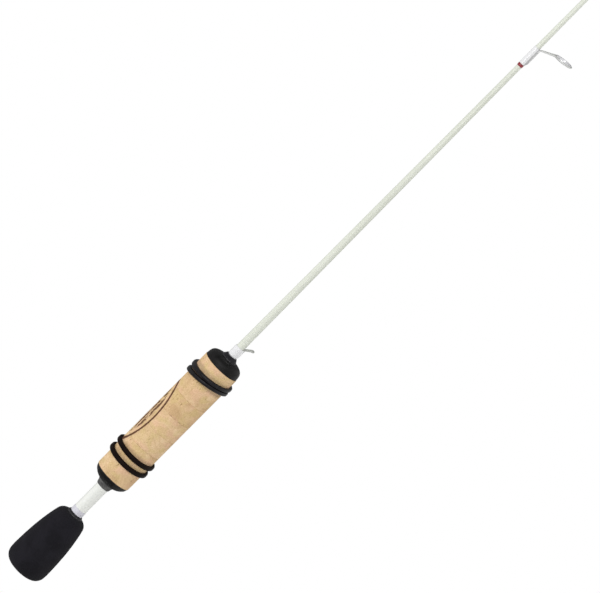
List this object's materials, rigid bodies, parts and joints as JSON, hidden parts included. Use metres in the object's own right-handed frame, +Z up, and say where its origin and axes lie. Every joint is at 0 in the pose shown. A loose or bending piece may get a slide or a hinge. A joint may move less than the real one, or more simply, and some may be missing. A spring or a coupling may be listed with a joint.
{
  "type": "ice fishing rod",
  "caption": "Short one-piece fishing rod with a tapered pale blank, cork grip with rubber reel rings, a foam butt knob, wire line guides and a hook keeper.",
  "frame": {"origin": "centre of the butt knob's flat rear end", "axes": "+X along the rod from butt to tip, +Z up, guides and reel hang towards -Z"},
  "size_m": [0.6599, 0.0281, 0.0364],
  "materials": {
    "fibreglass": "clear-coated pale glass fibre",
    "tube_paint": "satin pale tube",
    "foam": "matt closed-cell foam",
    "black_trim": "satin black",
    "pale_band": "gloss pale band",
    "black_rubber": "satin moulded rubber",
    "cork": "sanded cork",
    "guide_steel": "polished wire",
    "ring_insert": "polished ring",
    "white_thread": "thread under clear coat",
    "red_thread": "thread under clear coat",
    "ring_rubber": "moulded rubber"
  },
  "bodies": {
    "rod": {"blank": "fibreglass", "handle_tube": "tube_paint", "butt_knob": "foam", "butt_collar": "black_trim", "butt_trim": "pale_band", "rear_winding_check": "black_trim", "rear_cap": "black_rubber", "cork_ring_1": "cork", "cork_ring_2": "cork", "cork_ring_3": "cork", "cork_ring_4": "cork", "cork_ring_5": "cork", "cork_ring_6": "cork", "cork_ring_7": "cork", "front_cap": "black_rubber", "front_winding_check": "black_trim", "hook_keeper": "guide_steel", "keeper_wrap": "white_thread", "guide_frame_1": "guide_steel", "guide_ring_1": "ring_insert", "guide_wrap_1": "white_thread", "trim_wrap_1": "red_thread", "guide_frame_2": "guide_steel", "guide_ring_2": "ring_insert", "guide_wrap_2": "white_thread", "trim_wrap_2": "red_thread", "guide_frame_3": "guide_steel", "guide_ring_3": "ring_insert", "guide_wrap_3": "white_thread", "trim_wrap_3": "red_thread", "guide_frame_4": "guide_steel", "guide_ring_4": "ring_insert", "guide_wrap_4": "white_thread", "trim_wrap_4": "red_thread", "tip_tube": "guide_steel", "tip_frame": "guide_steel", "tip_ring": "ring_insert", "tip_wrap": "white_thread"},
    "reel_ring_1": {"reel_ring_1": "ring_rubber"},
    "reel_ring_2": {"reel_ring_2": "ring_rubber"},
    "reel_ring_3": {"reel_ring_3": "ring_rubber"},
    "reel_ring_4": {"reel_ring_4": "ring_rubber"}
  },
  "joints": [
    {"name": "reel_ring_1_slide", "type": "slide", "parent": "rod", "child": "reel_ring_1", "axis": [1, 0, 0], "range_m": [-0.01, 0.001]},
    {"name": "reel_ring_2_slide", "type": "slide", "parent": "rod", "child": "reel_ring_2", "axis": [1, 0, 0], "range_m": [-0.001, 0.026]},
    {"name": "reel_ring_3_slide", "type": "slide", "parent": "rod", "child": "reel_ring_3", "axis": [1, 0, 0], "range_m": [-0.026, 0]},
    {"name": "reel_ring_4_slide", "type": "slide", "parent": "rod", "child": "reel_ring_4", "axis": [1, 0, 0], "range_m": [0, 0.004]}
  ]
}
